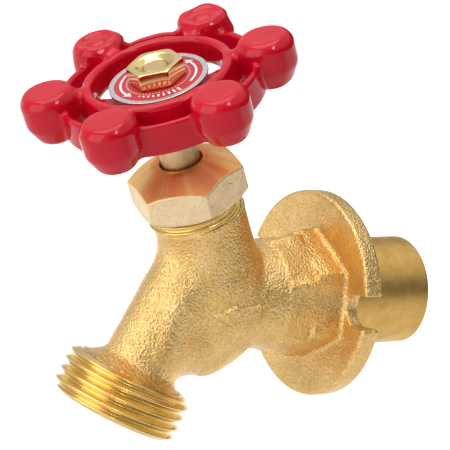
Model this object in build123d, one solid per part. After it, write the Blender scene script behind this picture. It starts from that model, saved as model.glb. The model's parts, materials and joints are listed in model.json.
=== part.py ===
from build123d import *
import math
import os

# Angled no-kink hose bib in cast brass, with a red handwheel.
# Frame: the origin is the centre of the flange's wall face. +Y runs into the wall along the
# inlet, +Z is up and -Y is the front. All sizes are in millimetres, with the valve closed.

# Axes: the spindle leans forward, and the outlet points down and forward.
SPINDLE_LEAN = 26.28
SPINDLE_FOOT = 25.56
OUTLET_LEAN = 21.4
OUTLET_FOOT = 37.38

# Edge breaks, and how far a cutter runs past the face that it opens.
EDGE = 0.4
OVERRUN = 1.0

# Inlet: a spigot for a 3/4 nominal fitting, with a cup for 1/2 nominal tube inside it.
SPIGOT_R = 11.11
SPIGOT_LENGTH = 19.7
CUP_R = 8.0
CUP_DEPTH = 12.7
INLET_BORE_R = 5.6
INLET_BORE_END = (0, -19.0, -3.0)

# Wall flange: a thick rim round a dished front, with two open notches for wall screws.
FLANGE_R = 21.2
FLANGE_THICK = 4.0
FLANGE_CHAMFER = 0.7
FLANGE_RIM = 2.0
FLANGE_DISH = 1.5
DISH_SLOPE = 1.4
NOTCH_R = 3.5
NOTCH_CENTRE_R = 16.2
NOTCH_RISE = 5.5

# Inlet barrel from the flange to the globe, as (radius, distance along +Y).
INLET_BARREL = ((12.6, -2.5), (11.9, -3.6), (11.4, -15.0), (10.6, -19.0), (9.6, -25.0))

# Wrench hexagons on the inlet barrel: corner radius, front end, back end, twist in degrees.
HEXAGONS = ((13.3, -9.0, -3.0, 24.0), (12.5, -15.2, -8.0, 33.0))

# Globe under the seat: an ellipsoid that rounds off the lower end of the spindle barrel.
GLOBE_CENTRE = (0, -37.25, 4.3)
GLOBE_RADII = (11.4, 25.2, 21.0)
GLOBE_TILT = -25.2
BARREL_R = 9.9
BARREL_BOTTOM = -17.0
BARREL_TOP = 6.0

# Web that joins the globe to the outlet: its side outline as (y, z), half width, and how far
# its underside stands back from the globe's.
WEB_OUTLINE = ((-27, -2), (-33, 8), (-40, 2), (-42.3, -12.6), (-34, -20), (-25, -18))
WEB_HALF_WIDTH = 7.2
WEB_STEP = 1.0

# Outlet with a 3/4-11.5 NH hose thread. The cast spout, as (radius, height), is a little off
# the bore's axis.
OUTLET_SHIFT = 0.9
BORE_SHIFT = 0.6
OUTLET_BORE_R = 4.4
OUTLET_BORE_START = -4.5
HOSE_MAJOR_R = 13.45
HOSE_ROOT_R = 12.05
HOSE_PITCH = 25.4 / 11.5
HOSE_START = 16.4
HOSE_CHAMFER = 1.2
OUTLET_END = 25.8
MOUTH_R = 8.5
MOUTH_DEPTH = 8.0
MOUTH_TAPER = 3.0
SPOUT = ((6.4, -10.0), (6.9, -2.0), (7.6, 13.4), (7.9, 15.4), (8.8, HOSE_START))

# Neck thread under the packing nut, 18 threads per inch.
NECK_MAJOR_R = 9.55
NECK_ROOT_R = 8.9
NECK_WAIST_R = 9.3
NECK_PITCH = 25.4 / 18
NECK_START = 19.3
NECK_TOP = 27.2
NECK_CHAMFER = 0.8

# Spindle thread, 12 threads per inch, in the neck.
LIFT_PITCH = 25.4 / 12
LIFT_MAJOR_R = 6.85
LIFT_ROOT_R = 6.1
LIFT_PLAY = 0.1
LIFT_START = 8.2
LIFT_END = 20.2
TAPPED_START = 13.2
TAPPED_END = 20.5

# Every thread's ridge is rooted this far inside its core.
THREAD_ROOT = 0.15

# Seat, and the chamber under it as (radius, height), along the spindle axis.
SEAT_TOP = 3.2
SEAT_FLOOR = 2.6
SEAT_UNDERSIDE = 1.0
SEAT_BORE_R = 4.2
SEAT_RING_R = 5.2
CHAMBER_R = 7.0
UNDER_SEAT = ((3.2, -10.4), (5.2, -8.8), (6.2, -6.0), (6.2, -3.5), (5.2, SEAT_UNDERSIDE))
UNDER_SEAT_BOTTOM = -10.8

# Disc holder, which swivels on the lower end of the stem, with its washer and screw.
CLOSED_GAP = 0.02
WASHER_R = 5.5
WASHER_THICK = 2.6
HOLDER_R = 5.9
HOLDER_TOP = 7.5
HOLDER_LIP = 1.4
SWIVEL_R = 2.2
SWIVEL_HEAD_R = 2.7
SWIVEL_NECK_END = 11.6
SWIVEL_TOP = 12.6
RUNNING_PLAY = 0.06
SCREW_R = 1.5
SCREW_HEAD_R = 2.9
SCREW_HEAD = 1.3
SCREW_SLOT = 0.8
SCREW_SLOT_DEPTH = 0.6
SCREW_TIP = 10.0

# Stem above the thread.
STEM_R = 3.9
TANG_START = 44.0
TANG_SIDE = 5.4
TANG_END = 49.6
STEM_END = 53.2
STEM_TIP_R = 2.6

# Packing nut and what it presses on.
NUT_CORNER_R = 12.0
NUT_TWIST = 48.5
NUT_BOTTOM = 22.9
NUT_BOTTOM_R = 10.4
NUT_FLAT_START = 24.1
NUT_SHOULDER = 28.7
NUT_TOP = 32.1
NUT_TOP_R = 5.7
NUT_HOLE_R = 4.35
NUT_PLAY = 0.02
PACKING_R = 6.9
PACKING_WASHER_R = 8.8
PACKING_WASHER_TOP = 28.0
PACKING_RING_TOP = 29.6
PACKING_GLAND_TOP = 30.3

# Handwheel: six lobes, as (radius, height), on a rim that bridges join to an inner ring, and a
# web with three windows round the hub.
WHEEL_BOTTOM = 43.2
WHEEL_TOP = 53.8
LOBES = 6
LOBE_TWIST = 2.0
LOBE_CENTRE_R = 21.5
LOBE_R = 5.8
LOBE = ((3.2, 43.2), (4.3, 43.9), (5.4, 46.6), (LOBE_R, 48.3), (LOBE_R, 51.6), (5.3, 52.9), (4.3, 53.8))
RIM_INNER = 17.9
RIM_OUTER = 20.25
RIM_BOTTOM = 44.2
RIM_TOP = 50.5
BRIDGE_START = 14.8
BRIDGE_END = 19.5
BRIDGE_WIDTH = 5.0
BRIDGE_BOTTOM = 45.6
BRIDGE_TOP = 50.4
RING_INNER = 12.8
RING_OUTER = 15.4
RING_BOTTOM = 45.6
RING_TOP = 52.0
BAND_CHAMFER = 0.7
WEB_BOTTOM = 45.6
WEB_TOP = 48.4
WINDOWS = 3
WINDOW_TWIST = 92.0
WINDOW_WIDTH = 8.6
WINDOW_INNER = 8.4
HUB_R = 7.0
HUB_TOP = 50.0

# Label plate and handle nut.
LABEL_R = 9.9
LABEL_TOP = 50.5
HANDLE_NUT_CORNER_R = 5.7
HANDLE_NUT_TWIST = -5.0
HANDLE_NUT_TOP = 54.0
HANDLE_NUT_CHAMFER = 0.3
COUNTERSINK_R = 3.8
COUNTERSINK_DEPTH = 0.9


def leaning_frame(foot, lean, upward):
    """A frame in the plane x = 0 whose z runs along an axis that leans forward."""
    angle = math.radians(lean)
    direction = (0, -math.sin(angle), upward * math.cos(angle))
    return Plane(origin=(0, -foot, 0), x_dir=(1, 0, 0), z_dir=direction)


INLET = Plane(origin=(0, 0, 0), x_dir=(1, 0, 0), z_dir=(0, 1, 0))
SPINDLE = leaning_frame(SPINDLE_FOOT, SPINDLE_LEAN, 1)
OUTLET = leaning_frame(OUTLET_FOOT, OUTLET_LEAN, -1)


def lathe(*points):
    """Solid of revolution about z from a closed (radius, height) outline."""
    outline = Plane.XZ * make_face(Polyline(*points, close=True))
    return revolve(outline, Axis.Z)


def rod(radius, bottom, top):
    """Plain cylinder about z between two heights."""
    return Pos(0, 0, (bottom + top) / 2) * Cylinder(radius, top - bottom)


def hexagon(corner_r, bottom, top, twist):
    """Hexagonal prism about z, with a corner at the twist angle."""
    face = Rot(0, 0, twist) * RegularPolygon(corner_r, 6)
    return Pos(0, 0, bottom) * extrude(face, top - bottom)


def thread(root_r, major_r, pitch, bottom, top, play=0.0):
    """Core and right-hand 60 degree ridge from bottom to top, grown by play all round."""
    core = rod(root_r + play, bottom, top)
    depth = major_r - root_r
    crest = pitch / 8 + play
    flank = depth * math.tan(math.radians(30))
    half_foot = crest / 2 + flank * (1 + THREAD_ROOT / depth)
    start = bottom - pitch
    height = top - bottom + 2 * pitch
    path = Pos(0, 0, start) * Helix(pitch, height, root_r + play)
    section = Plane(origin=path @ 0, x_dir=(1, 0, 0), z_dir=path % 0)
    outline = Polyline(
        (-THREAD_ROOT, -half_foot),
        (depth, -crest / 2),
        (depth, crest / 2),
        (-THREAD_ROOT, half_foot),
        close=True,
    )
    ridge = sweep(section * make_face(outline), path=path, is_frenet=True)
    return core, ridge & rod(major_r + OVERRUN, bottom, top)


def ellipsoid(step):
    """The globe's ellipsoid, with its surface moved in by a step."""
    ball = scale(Sphere(1), by=tuple(radius - step for radius in GLOBE_RADII))
    return Pos(*GLOBE_CENTRE) * (Rot(GLOBE_TILT, 0, 0) * ball)


def cast_shell():
    """Outer casting without threads or waterways."""
    rim = FLANGE_THICK
    dish = FLANGE_R - FLANGE_RIM - DISH_SLOPE
    inlet = INLET * lathe(
        (0, SPIGOT_LENGTH),
        (SPIGOT_R - EDGE, SPIGOT_LENGTH),
        (SPIGOT_R, SPIGOT_LENGTH - EDGE),
        (SPIGOT_R, 0),
        (FLANGE_R - EDGE, 0),
        (FLANGE_R, -EDGE),
        (FLANGE_R, FLANGE_CHAMFER - rim),
        (FLANGE_R - FLANGE_CHAMFER, -rim),
        (FLANGE_R - FLANGE_RIM, -rim),
        (dish, FLANGE_DISH - rim),
        *INLET_BARREL,
        (0, INLET_BARREL[-1][1]),
    )
    for corner_r, front, back, twist in HEXAGONS:
        inlet += INLET * hexagon(corner_r, front, back, twist)
    barrel = (SPINDLE * rod(BARREL_R, BARREL_BOTTOM, BARREL_TOP)) & ellipsoid(0)
    side = Plane.YZ * make_face(Polyline(*WEB_OUTLINE, close=True))
    web = extrude(side, WEB_HALF_WIDTH, both=True) & ellipsoid(WEB_STEP)
    neck = SPINDLE * lathe(
        (0, 0),
        (BARREL_R, 0),
        (BARREL_R, BARREL_TOP),
        (NECK_WAIST_R, NECK_START - 2 * NECK_PITCH),
        (NECK_WAIST_R, NECK_START - EDGE),
        (NECK_MAJOR_R, NECK_START),
        (0, NECK_START),
    )
    outlet = Pos(0, -OUTLET_SHIFT, 0) * lathe((0, SPOUT[0][1]), *SPOUT, (0, HOSE_START))
    return inlet + barrel + web + neck + OUTLET * outlet


def threaded_ends(shell):
    """Add the hose thread on the outlet and the packing nut thread on the neck."""
    core, ridge = thread(HOSE_ROOT_R, HOSE_MAJOR_R, HOSE_PITCH, HOSE_START, OUTLET_END)
    crest = HOSE_MAJOR_R + EDGE / 2
    tip = HOSE_ROOT_R - EDGE
    envelope = lathe(
        (0, HOSE_START),
        (tip, HOSE_START),
        (crest, HOSE_START + HOSE_CHAMFER),
        (crest, OUTLET_END - HOSE_CHAMFER),
        (tip, OUTLET_END),
        (0, OUTLET_END),
    )
    shell += OUTLET * ((core + ridge) & envelope)
    core, ridge = thread(NECK_ROOT_R, NECK_MAJOR_R, NECK_PITCH, NECK_START, NECK_TOP)
    crest = NECK_MAJOR_R + EDGE / 4
    envelope = lathe(
        (0, NECK_START),
        (crest, NECK_START),
        (crest, NECK_TOP - NECK_CHAMFER),
        (NECK_ROOT_R - EDGE / 4, NECK_TOP),
        (0, NECK_TOP),
    )
    return shell + SPINDLE * ((core + ridge) & envelope)


def spindle_cuts():
    """The chamber below the seat, the seat, the chamber above it and the tapped neck."""
    under_seat = lathe((0, UNDER_SEAT_BOTTOM), *UNDER_SEAT, (0, SEAT_UNDERSIDE))
    seat = rod(SEAT_BORE_R, SEAT_UNDERSIDE - OVERRUN, SEAT_TOP + OVERRUN)
    chamber = lathe(
        (0, SEAT_TOP),
        (SEAT_RING_R, SEAT_TOP),
        (SEAT_RING_R, SEAT_FLOOR),
        (CHAMBER_R, SEAT_FLOOR),
        (CHAMBER_R, TAPPED_START),
        (0, TAPPED_START),
    )
    in_step = LIFT_START + 2 * LIFT_PITCH
    tapped = (in_step, TAPPED_END + EDGE)
    core, ridge = thread(LIFT_ROOT_R, LIFT_MAJOR_R, LIFT_PITCH, *tapped, LIFT_PLAY)
    relief = rod(LIFT_MAJOR_R + EDGE / 2, TAPPED_END, NECK_TOP + OVERRUN)
    return [SPINDLE * cut for cut in (under_seat, seat, chamber, core, ridge, relief)]


def outlet_cuts():
    """The outlet bore and the wider mouth inside the hose thread."""
    throat = OUTLET_END - MOUTH_DEPTH
    mouth = lathe(
        (0, throat - MOUTH_TAPER),
        (OUTLET_BORE_R, throat - MOUTH_TAPER),
        (MOUTH_R, throat),
        (MOUTH_R, OUTLET_END + OVERRUN),
        (0, OUTLET_END + OVERRUN),
    )
    bore = Pos(0, -BORE_SHIFT, 0) * rod(OUTLET_BORE_R, OUTLET_BORE_START, throat)
    return [OUTLET * mouth, OUTLET * bore]


def inlet_cuts():
    """The tube cup in the spigot, and the passage from it to the chamber under the seat."""
    cup_floor = SPIGOT_LENGTH - CUP_DEPTH
    start = Vector(0, cup_floor + EDGE, 0)
    run = Vector(*INLET_BORE_END) - start
    passage = Plane(origin=start, z_dir=run) * rod(INLET_BORE_R, 0, run.length)
    cup = lathe(
        (0, cup_floor),
        (CUP_R, cup_floor),
        (CUP_R, SPIGOT_LENGTH - EDGE),
        (CUP_R + EDGE, SPIGOT_LENGTH),
        (CUP_R + EDGE, SPIGOT_LENGTH + OVERRUN),
        (0, SPIGOT_LENGTH + OVERRUN),
    )
    return [passage, INLET * cup]


def screw_notches():
    """Two open U notches in the flange, one on each side."""
    notches = []
    depth = FLANGE_THICK + 3 * OVERRUN
    length = FLANGE_R - NOTCH_CENTRE_R + OVERRUN
    for turn in (-NOTCH_RISE, 180 + NOTCH_RISE):
        slot = rod(NOTCH_R, OVERRUN - depth, OVERRUN)
        slot += Pos(length / 2, 0, OVERRUN - depth / 2) * Box(length, 2 * NOTCH_R, depth)
        slot = Pos(NOTCH_CENTRE_R, 0, 0) * slot
        notches.append(INLET * (Rot(0, 0, turn) * slot))
    return notches


def make_body():
    body = threaded_ends(cast_shell())
    for cut in inlet_cuts() + spindle_cuts() + outlet_cuts() + screw_notches():
        body -= cut
    return body


def make_packing_nut():
    clear = NUT_CORNER_R + EDGE / 4
    cone = lathe(
        (0, NUT_BOTTOM),
        (NUT_BOTTOM_R, NUT_BOTTOM),
        (clear, NUT_FLAT_START),
        (clear, NUT_SHOULDER),
        (NUT_TOP_R, NUT_TOP),
        (0, NUT_TOP),
    )
    nut = hexagon(NUT_CORNER_R, NUT_BOTTOM, NUT_TOP, NUT_TWIST) & cone
    nut -= rod(NECK_MAJOR_R + NUT_PLAY, NUT_BOTTOM - OVERRUN, PACKING_WASHER_TOP)
    nut -= rod(PACKING_R, PACKING_WASHER_TOP - OVERRUN, PACKING_GLAND_TOP)
    nut -= rod(NUT_HOLE_R, PACKING_GLAND_TOP - OVERRUN, NUT_TOP + OVERRUN)
    return SPINDLE * nut


def ring(inner, outer, bottom, top):
    """Flat washer about the spindle axis."""
    return SPINDLE * (rod(outer, bottom, top) - rod(inner, bottom - OVERRUN, top + OVERRUN))


def make_stem():
    core, ridge = thread(LIFT_ROOT_R, LIFT_MAJOR_R, LIFT_PITCH, LIFT_START, LIFT_END)
    crest = LIFT_MAJOR_R + EDGE / 4
    tip = LIFT_ROOT_R - EDGE
    envelope = lathe(
        (0, LIFT_START),
        (tip, LIFT_START),
        (crest, LIFT_START + LIFT_PITCH / 2),
        (crest, LIFT_END - LIFT_PITCH / 2),
        (tip, LIFT_END),
        (0, LIFT_END),
    )
    stem = (core + ridge) & envelope
    stem += rod(tip, HOLDER_TOP + CLOSED_GAP, LIFT_START)
    stem += rod(STEM_R, LIFT_END, TANG_START)
    tang = Pos(0, 0, (TANG_START + TANG_END) / 2)
    stem += tang * Box(TANG_SIDE, TANG_SIDE, TANG_END - TANG_START)
    stem += lathe(
        (0, TANG_END),
        (STEM_TIP_R, TANG_END),
        (STEM_TIP_R, STEM_END - EDGE),
        (STEM_TIP_R - EDGE, STEM_END),
        (0, STEM_END),
    )
    stem -= rod(SWIVEL_R + RUNNING_PLAY, HOLDER_TOP - OVERRUN, SWIVEL_NECK_END)
    stem -= rod(
        SWIVEL_HEAD_R + RUNNING_PLAY,
        SWIVEL_NECK_END - CLOSED_GAP,
        SWIVEL_TOP + CLOSED_GAP,
    )
    return SPINDLE * stem


def make_disc_holder():
    washer_top = SEAT_TOP + CLOSED_GAP + WASHER_THICK
    holder = rod(HOLDER_R, washer_top - HOLDER_LIP, HOLDER_TOP)
    holder -= rod(WASHER_R, SEAT_TOP, washer_top)
    holder += rod(SWIVEL_R, HOLDER_TOP, SWIVEL_NECK_END)
    holder += rod(SWIVEL_HEAD_R, SWIVEL_NECK_END, SWIVEL_TOP)
    holder -= rod(SCREW_R, SEAT_TOP, SCREW_TIP)
    return SPINDLE * holder


def make_washer_screw():
    top = SEAT_TOP + CLOSED_GAP
    bottom = top - SCREW_HEAD
    screw = lathe(
        (0, bottom),
        (SCREW_HEAD_R - EDGE, bottom),
        (SCREW_HEAD_R, bottom + EDGE),
        (SCREW_HEAD_R, top),
        (0, top),
    )
    screw += rod(SCREW_R, top, SCREW_TIP)
    screw -= Pos(0, 0, bottom) * Box(3 * SCREW_HEAD_R, SCREW_SLOT, 2 * SCREW_SLOT_DEPTH)
    return SPINDLE * screw


def band(inner, outer, bottom, top):
    """Ring about z with chamfered edges."""
    edge = BAND_CHAMFER
    return lathe(
        (inner, bottom + edge),
        (inner + edge, bottom),
        (outer - edge, bottom),
        (outer, bottom + edge),
        (outer, top - edge),
        (outer - edge, top),
        (inner + edge, top),
        (inner, top - edge),
    )


def block(start, end, width, bottom, top):
    """Box along x between two distances."""
    centre = Pos((start + end) / 2, 0, (bottom + top) / 2)
    return centre * Box(end - start, width, top - bottom)


def make_handwheel():
    web = rod(RING_INNER + BAND_CHAMFER, WEB_BOTTOM, WEB_TOP)
    window = block(WINDOW_INNER, RING_OUTER, WINDOW_WIDTH, WEB_BOTTOM - OVERRUN, WEB_TOP + OVERRUN)
    window &= rod(RING_INNER, WEB_BOTTOM - OVERRUN, WEB_TOP + OVERRUN)
    for index in range(WINDOWS):
        web -= Rot(0, 0, WINDOW_TWIST + index * 360 / WINDOWS) * window
    wheel = web + rod(HUB_R, TANG_START, HUB_TOP)
    wheel += band(RIM_INNER, RIM_OUTER, RIM_BOTTOM, RIM_TOP)
    wheel += band(RING_INNER, RING_OUTER, RING_BOTTOM, RING_TOP)
    lobe = Pos(LOBE_CENTRE_R, 0, 0) * lathe((0, WHEEL_BOTTOM), *LOBE, (0, WHEEL_TOP))
    bridge = block(BRIDGE_START, BRIDGE_END, BRIDGE_WIDTH, BRIDGE_BOTTOM, BRIDGE_TOP)
    for index in range(LOBES):
        wheel += Rot(0, 0, LOBE_TWIST + index * 360 / LOBES) * (lobe + bridge)
    wheel -= Pos(0, 0, (TANG_START + HUB_TOP) / 2) * Box(TANG_SIDE, TANG_SIDE, 2 * HUB_R)
    return SPINDLE * wheel


def make_handle_nut():
    clear = HANDLE_NUT_CORNER_R + EDGE / 4
    slope = 2 * HANDLE_NUT_CHAMFER
    cone = lathe(
        (0, LABEL_TOP),
        (clear - slope, LABEL_TOP),
        (clear, LABEL_TOP + HANDLE_NUT_CHAMFER),
        (clear, HANDLE_NUT_TOP - HANDLE_NUT_CHAMFER),
        (clear - slope, HANDLE_NUT_TOP),
        (0, HANDLE_NUT_TOP),
    )
    nut = hexagon(HANDLE_NUT_CORNER_R, LABEL_TOP, HANDLE_NUT_TOP, HANDLE_NUT_TWIST) & cone
    nut -= rod(STEM_TIP_R, LABEL_TOP - OVERRUN, HANDLE_NUT_TOP)
    nut -= lathe(
        (0, HANDLE_NUT_TOP - COUNTERSINK_DEPTH),
        (STEM_TIP_R, HANDLE_NUT_TOP - COUNTERSINK_DEPTH),
        (COUNTERSINK_R, HANDLE_NUT_TOP),
        (0, HANDLE_NUT_TOP),
    )
    return SPINDLE * nut


def main():
    stem_hole = STEM_R + RUNNING_PLAY
    washer = SEAT_TOP + CLOSED_GAP
    nodes = {
        "body": make_body(),
        "packing_nut": make_packing_nut(),
        "packing_gland": ring(stem_hole, PACKING_R, PACKING_RING_TOP, PACKING_GLAND_TOP),
        "packing_ring": ring(stem_hole, PACKING_R, PACKING_WASHER_TOP, PACKING_RING_TOP),
        "packing_washer": ring(stem_hole, PACKING_WASHER_R, NECK_TOP, PACKING_WASHER_TOP),
        "stem": make_stem(),
        "disc_holder": make_disc_holder(),
        "seat_washer": ring(SCREW_R, WASHER_R, washer, washer + WASHER_THICK),
        "washer_screw": make_washer_screw(),
        "handwheel": make_handwheel(),
        "label_plate": ring(STEM_TIP_R, LABEL_R, HUB_TOP, LABEL_TOP),
        "handle_nut": make_handle_nut(),
    }
    os.makedirs("parts", exist_ok=True)
    for name, part in nodes.items():
        export_step(part, f"parts/{name}.step")


main()
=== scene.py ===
"""Looks for the angled brass hose bib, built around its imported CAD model."""

import itertools
import json
import math

import bmesh
import bpy
import numpy as np
from mathutils import Matrix, Vector


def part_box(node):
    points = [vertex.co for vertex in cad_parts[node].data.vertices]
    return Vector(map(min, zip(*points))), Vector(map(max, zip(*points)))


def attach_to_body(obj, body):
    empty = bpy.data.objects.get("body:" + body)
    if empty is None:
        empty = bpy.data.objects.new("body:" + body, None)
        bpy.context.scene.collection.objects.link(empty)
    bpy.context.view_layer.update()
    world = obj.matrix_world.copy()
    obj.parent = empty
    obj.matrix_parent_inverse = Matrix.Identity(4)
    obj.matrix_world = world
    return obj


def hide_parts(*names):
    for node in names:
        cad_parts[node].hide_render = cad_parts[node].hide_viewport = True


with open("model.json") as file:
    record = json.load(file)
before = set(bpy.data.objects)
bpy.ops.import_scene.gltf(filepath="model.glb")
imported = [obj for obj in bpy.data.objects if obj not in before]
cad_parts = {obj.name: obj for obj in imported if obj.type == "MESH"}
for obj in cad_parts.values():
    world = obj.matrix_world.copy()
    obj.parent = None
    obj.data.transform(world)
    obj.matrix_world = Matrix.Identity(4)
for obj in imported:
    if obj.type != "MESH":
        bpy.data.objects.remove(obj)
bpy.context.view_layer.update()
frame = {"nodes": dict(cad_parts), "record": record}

MM = 0.001
record = frame["record"]
joints = {joint["name"]: joint for joint in record["behaviour"]["joints"]}
mounts = {mount["name"]: mount for mount in record["mounts"]}


# ---------------------------------------------------------------- local frames, in millimetres


class Axes:
    """A local frame whose z runs along an axis, and whose x is the part's X."""

    def __init__(self, origin, direction):
        self.origin = np.array(origin, float)
        z = np.array(direction, float) / np.linalg.norm(direction)
        x = np.array([1.0, 0.0, 0.0])
        self.rows = np.array([x, np.cross(z, x), z])

    def local(self, points):
        return (points - self.origin) @ self.rows.T

    def world(self, points):
        return np.asarray(points, float) @ self.rows + self.origin


def axis_foot(mount):
    """The point at z = 0 on a mount's axis."""
    position = np.array(mount["pos_m"]) / MM
    axis = np.array(mount["axis"])
    return position - axis * position[2] / axis[2]


def span(node, axes):
    """Lowest and highest point of a CAD node along an axis, and its largest radius."""
    points = np.array([vertex.co for vertex in frame["nodes"][node].data.vertices]) / MM
    local = axes.local(points)
    return local[:, 2].min(), local[:, 2].max(), radius_of(local).max()


TURN = joints["handwheel_turn"]
OUTLET_MOUNT = mounts["hose_thread"]
INLET = Axes((0, 0, 0), (0, 1, 0))
SPINDLE = Axes(np.array(TURN["pos_m"]) / MM, TURN["axis"])
OUTLET = Axes(axis_foot(OUTLET_MOUNT), OUTLET_MOUNT["axis"])


# ---------------------------------------------------------------- distance fields


def smooth_max(a, b, blend):
    """Intersection of two fields whose edge is rounded over the blend distance."""
    h = np.clip(0.5 + 0.5 * (a - b) / blend, 0, 1)
    return b * (1 - h) + a * h + blend * h * (1 - h)


def smooth_min(a, b, blend):
    """Union of two fields with a concave fillet over the blend distance."""
    return -smooth_max(-a, -b, blend)


def radius_of(p):
    return np.hypot(p[:, 0], p[:, 1])


def turned(p, heights, radii, blend=0.4):
    """Solid of revolution about z, its radius interpolated over height."""
    z = p[:, 2]
    slope = np.gradient(np.asarray(radii, float), np.asarray(heights, float))
    steepness = np.hypot(1, np.interp(z, heights, slope))
    side = (radius_of(p) - np.interp(z, heights, radii)) / steepness
    ends = np.maximum(heights[0] - z, z - heights[-1])
    return smooth_max(side, ends, blend)


def turned_profile(p, profile, blend):
    """Solid of revolution about z from (radius, height) points."""
    radii, heights = zip(*profile)
    return turned(p, heights, radii, blend)


PROFILE_POINTS = 1200


def smooth_profile(heights, radii, width):
    """The radii over height as a fine table with the bends rounded over a width."""
    fine = np.linspace(heights[0], heights[-1], PROFILE_POINTS)
    reach = max(1, int(width / (fine[1] - fine[0]) / 2))
    table = np.interp(fine, heights, radii)
    for _ in range(3):
        padded = np.pad(table, reach, mode="reflect", reflect_type="odd")
        table = np.convolve(padded, np.ones(2 * reach + 1) / (2 * reach + 1), "valid")
    return fine, table


def rounded_rod(p, radius, bottom, top, edge):
    """Cylinder about z with rounded rims."""
    half = (top - bottom) / 2
    return soft_box(radius_of(p), p[:, 2] - (bottom + top) / 2, radius, half, edge)


def soft_box(u, v, half_u, half_v, edge):
    """Rectangle in u and v with rounded corners."""
    a, b = np.abs(u) - half_u + edge, np.abs(v) - half_v + edge
    outside = np.hypot(np.maximum(a, 0), np.maximum(b, 0))
    return outside + np.minimum(np.maximum(a, b), 0) - edge


def hexagon(p, corner_r, bottom, top, twist, blend):
    """Hexagonal prism about z with a corner at the twist angle."""
    apothem = corner_r * math.cos(math.pi / 6)
    side = None
    for index in range(6):
        angle = math.radians(twist + 30 + 60 * index)
        face = p[:, 0] * math.cos(angle) + p[:, 1] * math.sin(angle) - apothem
        side = face if side is None else smooth_max(side, face, blend)
    ends = np.maximum(bottom - p[:, 2], p[:, 2] - top)
    return smooth_max(side, ends, blend)


def spin(p, degrees):
    """Points turned about z by minus the angle, so that a shape turns by plus the angle."""
    c, s = math.cos(math.radians(degrees)), math.sin(math.radians(degrees))
    return np.stack([p[:, 0] * c + p[:, 1] * s, p[:, 1] * c - p[:, 0] * s, p[:, 2]], axis=1)


def shifted(p, x=0.0, y=0.0, z=0.0):
    return p - np.array([x, y, z])


# ---------------------------------------------------------------- meshing a field


# A grid is sampled in blocks of this many points a side, and this many blocks at a time. A block
# is near the surface when its middle is within so many of its half diagonals.
BLOCK = 8
BLOCKS_AT_ONCE = 400
NEAR_SHARE = 1.7


def sample(field, low, shape, step):
    """Field values on a grid. Only blocks near the surface are sampled at every point."""
    block = BLOCK
    blocks = [math.ceil(n / block) for n in shape]
    corners = np.stack(np.meshgrid(*[np.arange(n) for n in blocks], indexing="ij"), -1)
    corners = corners.reshape(-1, 3)
    centres = low + (corners + 0.5) * block * step
    reach = block * step * math.sqrt(3) / 2
    coarse = field(centres)
    values = np.broadcast_to(coarse[:, None], (len(corners), block**3)).copy()
    near = np.flatnonzero(np.abs(coarse) < reach * NEAR_SHARE)
    inner = np.stack(np.meshgrid(*[np.arange(block)] * 3, indexing="ij"), -1).reshape(-1, 3)
    for part in np.array_split(near, max(1, len(near) // BLOCKS_AT_ONCE)):
        points = low + (corners[part][:, None] * block + inner[None]) * step
        values[part] = field(points.reshape(-1, 3)).reshape(len(part), -1)
    grid = values.reshape(*blocks, block, block, block).transpose(0, 3, 1, 4, 2, 5)
    return grid.reshape([n * block for n in blocks])


def surface_nets(grid, low, step):
    """Quads of the grid's zero surface, one vertex in each cell that it crosses."""
    inside = grid < 0
    shape = np.array(grid.shape) - 1
    offsets = np.array(list(itertools.product((0, 1), repeat=3)))
    count = np.zeros(shape, np.uint8)
    for i, j, k in offsets:
        count += inside[i : shape[0] + i, j : shape[1] + j, k : shape[2] + k]
    cells = np.argwhere((count > 0) & (count < 8))
    index = np.full(shape, -1, np.int64)
    index[tuple(cells.T)] = np.arange(len(cells))
    total = np.zeros((len(cells), 3))
    weight = np.zeros(len(cells))
    for a, b in itertools.combinations(offsets, 2):
        if np.abs(a - b).sum() != 1:
            continue
        first = grid[tuple((cells + a).T)]
        second = grid[tuple((cells + b).T)]
        crossed = (first < 0) != (second < 0)
        share = np.where(crossed, first / np.where(crossed, first - second, 1), 0)
        total += (a + share[:, None] * (b - a)) * crossed[:, None]
        weight += crossed
    points = low + step * (cells + total / weight[:, None])
    quads = []
    for axis in range(3):
        ahead = np.eye(3, dtype=int)[axis]
        u, v = np.eye(3, dtype=int)[(axis + 1) % 3], np.eye(3, dtype=int)[(axis + 2) % 3]
        here = inside[: shape[0], : shape[1], : shape[2]]
        there = inside[ahead[0] :, ahead[1] :, ahead[2] :][: shape[0], : shape[1], : shape[2]]
        edges = np.argwhere(here != there)
        ring = [index[tuple((edges - d).T)] for d in (0 * u, u, u + v, v)]
        ring = np.stack(ring, axis=1)
        leaving = inside[tuple(edges.T)]
        quads.append(np.where(leaving[:, None], ring, ring[:, ::-1]))
    return points, np.concatenate(quads)


# How far to each side a slope is measured, the longest step towards the surface, and the least
# squared slope that a step is divided by.
PROBE_GAP = 0.02
LONGEST_STEP = 0.3
SMALLEST_SLOPE = 0.2


def gradient(field, points):
    """Slope of a field, from the values a small gap to each side."""
    slopes = []
    for axis in range(3):
        nudge = np.zeros(3)
        nudge[axis] = PROBE_GAP
        slopes.append((field(points + nudge) - field(points - nudge)) / (2 * PROBE_GAP))
    return np.stack(slopes, axis=1)


def settle(field, points):
    """Moves points onto the field's zero surface and returns them with their normals."""
    for _ in range(2):
        slope = gradient(field, points)
        size = np.maximum((slope**2).sum(1), SMALLEST_SLOPE)
        step = (field(points) / size)[:, None] * slope
        points = points - np.clip(step, -LONGEST_STEP, LONGEST_STEP)
    slope = gradient(field, points)
    return points, slope / np.maximum(np.linalg.norm(slope, axis=1), 1e-9)[:, None]


NOISE_VALUES = 4096
NOISE_PRIMES = np.array([73856093, 19349663, 83492791])
NOISE_SHIFT = 7.31


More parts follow.
